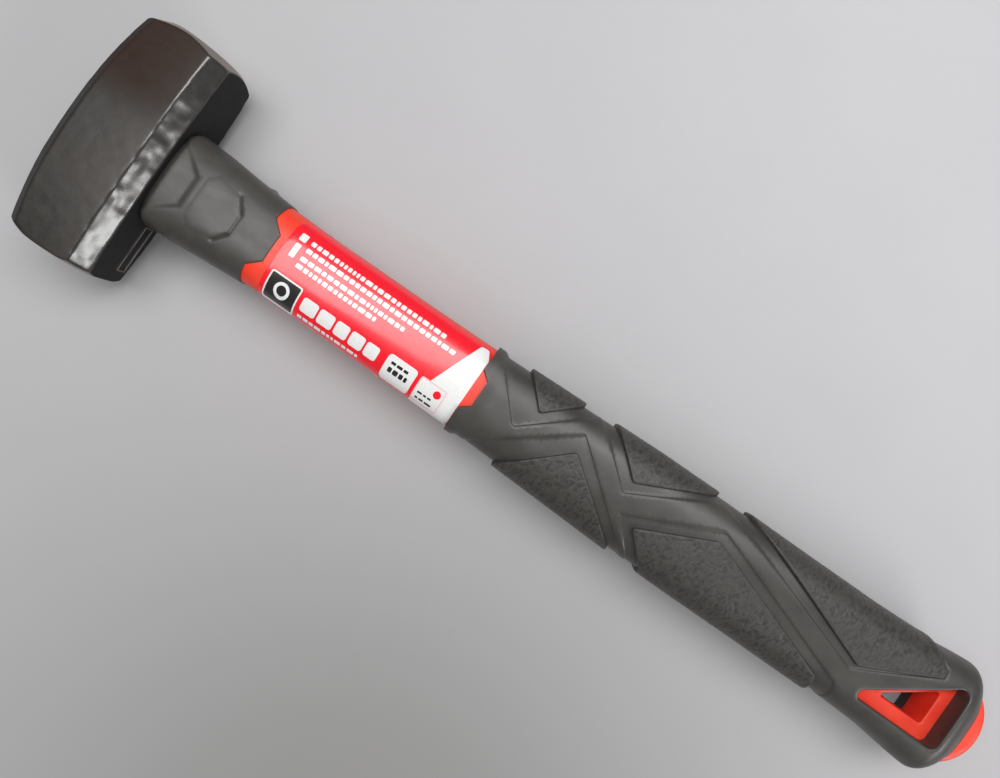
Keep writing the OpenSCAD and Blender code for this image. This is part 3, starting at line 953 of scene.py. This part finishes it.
def dashes(y, height, start, stop, seed):
    """A row of plain dashes that stands for a line of small print."""
    out, x, k = [], start, 0
    while x < stop - 0.9:
        length = min(0.9 + 1.5 * float(lattice(np.array([k, seed, 0]), 4)), stop - x)
        out.append(rectangle(x, x + length, y - height / 2, y + height / 2, height * 0.25))
        x += length + 0.45
        k += 1
    return out


def disc(x, y, radius):
    angles = np.linspace(0, 2 * np.pi, 37)[:-1]
    return np.stack([x + radius * np.cos(angles), y + radius * np.sin(angles)], axis=1)


def label_art():
    """Plain printed shapes, back to front: (ink, outline), X from the label's front end."""
    shapes = [
        ("white", [(56.0, -13.95, 0), (59.3, -4.8, 0), (65.8, 12.0, 1), (68.4, 12.2, 1),
                   (70.3, 9.0, 0.5), (70.3, -13.95, 0)]),
        ("white", rectangle(44.7, 55.0, -13.0, -4.9, 1.2)),
        ("pale", rectangle(56.3, 65.6, -12.9, -5.1, 0.8)),
        ("white", rectangle(56.7, 65.2, -12.5, -5.5, 0.5)),
        ("red", disc(63.2, -7.6, 1.25)),
        ("white", rectangle(1.6, 12.7, -13.2, -4.4, 0.8)),
        ("black", rectangle(2.1, 12.2, -12.7, -4.9, 0.5)),
        ("white", disc(7.15, -8.7, 2.6)),
        ("black", disc(7.15, -8.7, 1.6))]
    shapes += [("white", rectangle(x0, x1, -10.3, -5.9, 0.9)) for x0, x1 in (
        (14.2, 19.6), (20.3, 25.6), (26.4, 31.0), (31.8, 36.6), (37.3, 41.8))]
    art = [(ink, outline(shape) if isinstance(shape, list) else shape) for ink, shape in shapes]
    small = dashes(-11.9, 0.8, 14.4, 36.5, 11)
    rows = ((8.1, 56.5, 1), (5.6, 60.5, 2), (2.7, 45.0, 3), (0.3, 36.0, 4))
    for y, stop, seed in rows:
        small += dashes(y, 1.4, 6.6, stop, seed)
    small += [rectangle(2.6, 5.0, 6.9, 9.3, 0.4), rectangle(2.9, 4.7, 1.3, 5.9, 0.3)]
    art += [("white", outline(shape, 0.8)) for shape in small]
    grey = dashes(-7.2, 0.9, 46.4, 53.6, 6) + dashes(-9.4, 1.6, 46.4, 53.2, 7)
    grey += dashes(-11.6, 0.6, 57.6, 64.0, 8) + dashes(-9.9, 0.6, 57.6, 62.4, 9)
    art += [("black", outline(shape, 0.8)) for shape in grey]
    return art


def build_label():
    """The film, cut along every printed outline so that each colour is its own faces."""
    start, end = LABEL_START + 0.05, LABEL_END - 0.05
    film = outline([(start, -13.2, 0), (end, -13.2, 0), (end, 12.9, 2.5), (start, 12.9, 3.0)])
    flat_film = sleeve_skin.unroll(film)
    flat_film[film[:, 1] < -13.0, 1] = sleeve_skin.girth - 0.7
    art = [(ink, sleeve_skin.unroll(shape + [LABEL_START, 0])) for ink, shape in label_art()]
    keep = region(flat_film)
    lines = [closed(flat_film)] + contours(flat_film, (0.05, 0.15), keep)
    lines += [closed(shape) for _, shape in art]
    flat, faces = triangulate(lines, 1.0, *extents(flat_film), keep)
    centres = flat[faces].mean(axis=1)
    which = np.zeros(len(faces), int)
    for ink, shape in art:
        which[inside_distance(centres, shape) > 0] = INKS[ink]
    edge = np.maximum(inside_distance(flat, flat_film), 0)
    height = FILM - rounded_edge(edge, 0.12) + 0.03 * noise(sleeve_skin.surface(flat), 12, 2)
    points, polygons = shell(sleeve_skin.surface(flat, height), sleeve_skin.surface(flat, -0.1),
                             faces)
    inks = np.concatenate([which, np.zeros(len(polygons) - len(which), int)])
    piece = new_piece("label_film", points, polygons,
                      [FILM_RED, FILM_WHITE, FILM_BLACK, FILM_PALE], inks, "printed_film", 50)
    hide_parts("label")


# ------------------------------------------------------------------ head, resin and core


def forged_surface():
    """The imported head's shape as an even mesh whose edges are rounded as a forging's are."""
    rough = new_object("rough_head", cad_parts["head"].data.copy())
    even = rough.modifiers.new("even", "REMESH")
    even.mode = "VOXEL"
    even.voxel_size = 0.4 * MM
    soften = rough.modifiers.new("soften", "SMOOTH")
    soften.factor, soften.iterations = 0.5, 9
    graph = bpy.context.evaluated_depsgraph_get()
    mesh = bpy.data.meshes.new_from_object(rough.evaluated_get(graph))
    bpy.data.objects.remove(rough)
    count = len(mesh.vertices)
    points, normals = np.zeros(count * 3), np.zeros(count * 3)
    mesh.vertices.foreach_get("co", points)
    mesh.vertex_normals.foreach_get("vector", normals)
    polygons = [tuple(p.vertices) for p in mesh.polygons]
    points = (points.reshape(-1, 3) - ORIGIN) / MM
    return points, normals.reshape(-1, 3), polygons


def build_head():
    points, normals, polygons = forged_surface()
    on_bevel = rise(np.minimum(normals[:, 0], np.abs(normals[:, 2])) - 0.15, 0.2)
    on_end = rise(np.abs(normals[:, 1]) - 0.72, 0.12)
    on_bevel *= 1 - on_end
    # Painted shade: a darker, rougher coat on faces turned away from the handle (half strength) and
    # on the underside that faces it.
    matte_painted_shade = np.maximum(0.5 * rise(-normals[:, 0] - 0.2, 0.3), rise(normals[:, 0] - 0.84, 0.1))
    matte_painted_shade *= 1 - on_end
    toward_handle = rise(points[:, 0] - 10, 22)
    # Painted shade: a brown darkening on the +Y half of the head, weaker towards the handle and
    # kept off the bevels and ends.
    brown_painted_shade = rise(points[:, 1] - 4, 15) * (1 - 0.4 * toward_handle) * (1 - on_bevel) * (1 - on_end)
    # Painted sheen: the rest of the head turns lighter towards the handle.
    painted_sheen = 0.7 * toward_handle * (1 - brown_painted_shade) * (1 - on_bevel) * (1 - on_end) * (1 - matte_painted_shade)
    dent_depth = (0.05 + 0.14 * on_bevel) * (1 - 0.8 * on_end)
    hammered = 0.7 * noise(points, (5.5, 7, 5.5), 4) + 0.7 * noise(points, 3.0, 2)
    points = points + normals * (hammered * dent_depth)[:, None]
    piece = new_piece("head_forging", points, polygons, [STEEL], slot="forged_steel", sharp=180)
    for name, values in zip(STEEL_LAYERS, (on_end, on_bevel, matte_painted_shade, brown_painted_shade, painted_sheen)):
        set_layer(piece, name, values)
    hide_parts("head")


def build_mark_frame():
    """The blank raised frame on the head's underside."""
    outer = outline(rectangle(-34.0, -17.0, -7.25, -2.25, 0.5), 0.4)
    inner = outline(rectangle(-33.2, -17.8, -6.45, -3.05, 0.3), 0.4)
    keep = region(outer, inner)
    lines = [closed(outer), closed(inner)] + contours(outer, (0.12, 0.25, 0.4, 0.55, 0.68), keep)
    flat, faces = triangulate(lines, 0.4, *extents(outer), keep)
    ridge = np.minimum(inside_distance(flat, outer), -inside_distance(flat, inner))
    top = HEAD_END + 0.42 * rise(ridge, 0.3)
    upper = np.column_stack([top, flat])
    lower = np.column_stack([np.full(len(flat), HEAD_END - 1.0), flat])
    points, polygons = shell(upper, lower, faces)
    piece = new_piece("head_mark_frame", points, [tuple(reversed(f)) for f in polygons], [STEEL],
                      slot="forged_steel", sharp=60)
    for name, value in zip(STEEL_LAYERS, (0.3, 0.0, 0.0, 0.0, 0.0)):
        set_layer(piece, name, np.full(len(points), value))


def build_resin():
    """Resin filling the eye, drawn up a little where it wets the steel."""
    half, radius = 4.6, 8.6
    angles = np.linspace(-np.pi / 2, np.pi / 2, 30)
    right = np.stack([half + radius * np.cos(angles), radius * np.sin(angles)], axis=1)
    rim = evenly(closed(np.concatenate([right, -right])), 0.5)[:-1]
    keep = region(rim)
    lines = [closed(rim)] + contours(rim, (0.2, 0.5, 1.0, 1.8), keep)
    flat, faces = triangulate(lines, 0.8, *extents(rim), keep)
    edge = np.maximum(inside_distance(flat, rim), 0)
    sunk = 1.25 - 0.7 * np.exp(-edge / 0.8)
    space = np.column_stack([sunk, flat])
    upper = np.column_stack([sunk + 0.12 * noise(space, 4, 6), flat])
    lower = np.column_stack([np.full(len(flat), HEAD_END - 1.5), flat * [0.88, 0.9]])
    piece = new_piece("eye_resin_fill", *shell(upper, lower, faces), [cast_resin()],
                      slot="resin", sharp=60)
    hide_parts("eye_resin")


build_head()
build_mark_frame()
build_resin()
build_collar()
build_sleeve()
build_label()
build_grip()
build_hole_floor()
for number, (pad_name, pad_corners) in enumerate(PADS.items()):
    build_pad(pad_name, pad_corners, 20 + 7 * number)
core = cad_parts["fibre_core"].data
core.materials.clear()
core.materials.append(glass_fibre())

# ------------------------------------------------------------------ stage, light and camera


def painted_floor_shading(x, y):
    """Painted shading of the paper at a place, 0 to 1: a painted light falloff that fades gently
    towards the viewer, with a painted shadow pool on the -Y side of the handle's middle.
    """
    # Painted shadow: a darker pool on the paper on the -Y side of the handle's middle.
    painted_shadow_pool = math.exp(-((x - 0.03) ** 2 + (y + 0.14) ** 2) / (2 * 0.09 ** 2))
    return min(max(0.79 + y + 0.4 * x + 6.4 * x * y - 0.7 * painted_shadow_pool, 0), 1)


def build_stage():
    reach = 3.0
    places = np.concatenate([[-reach], np.linspace(-0.4, 0.4, 41), [reach]])
    count = len(places)
    corners = [(x, y, 0) for y in places for x in places]
    squares = [(j * count + i, j * count + i + 1, (j + 1) * count + i + 1, (j + 1) * count + i)
               for j in range(count - 1) for i in range(count - 1)]
    mesh = bpy.data.meshes.new("floor")
    mesh.from_pydata(corners, [], squares)
    floor = new_object("floor", mesh)
    set_layer(floor, "across", np.array([painted_floor_shading(x, y) for x, y, _ in corners]))
    g = Graph("pale_floor", Specular_IOR_Level=0.3)
    # The floor's colour carries painted shading: a painted light falloff and a painted shadow pool,
    # from dark grey to pale.
    paper = g.mix(g.attribute("across"), linear(151, 150, 149), linear(200, 199, 201))
    fleck = g.mix(g.remap(g.noise(40, 3), 0.3, 0.7, 0, 0.05), paper, linear(150, 150, 152))
    mesh.materials.append(g.finish(Base_Color=fleck, Roughness=g.remap(
        g.noise(3, 3), 0.3, 0.7, 0.6, 0.75)))


def soft_light(name, place, turn, size, power):
    lamp = bpy.data.lights.new(name, "AREA")
    lamp.shape = "RECTANGLE"
    lamp.size, lamp.size_y = size
    lamp.energy = power
    light = new_object(name, lamp)
    light.location = place
    light.rotation_euler = turn


def build_lights():
    world = bpy.data.worlds.new("room")
    world.use_nodes = True
    background = world.node_tree.nodes["Background"]
    background.inputs["Color"].default_value = (0.97, 0.98, 1.0, 1)
    background.inputs["Strength"].default_value = 0.22
    bpy.context.scene.world = world
    soft_light("overhead", (-0.05, 0.28, 0.87), (0, 0, math.radians(35)), (1.4, 0.42), 9.0)
    beside, head = Vector((0.85, -0.26, 0.52)), Vector((-0.13, 0, 0.03))
    facing = (head - beside).to_track_quat("-Z", "Y").to_euler()
    soft_light("window", beside, facing, (0.40, 0.26), 2.8)


def build_camera():
    """Straight down from 250 mm, turned so that the handle runs from upper left to lower right."""
    data = bpy.data.cameras.new("camera")
    data.sensor_width = 36
    data.lens = 27.1
    data.clip_start = 0.01
    camera = new_object("camera", data)
    camera.location = (-0.0138, 0.00475, 0.2495)
    camera.rotation_euler = (0, 0, math.radians(35))
    bpy.context.scene.camera = camera


build_stage()
build_lights()
build_camera()
bpy.context.scene.view_settings.view_transform = "Standard"
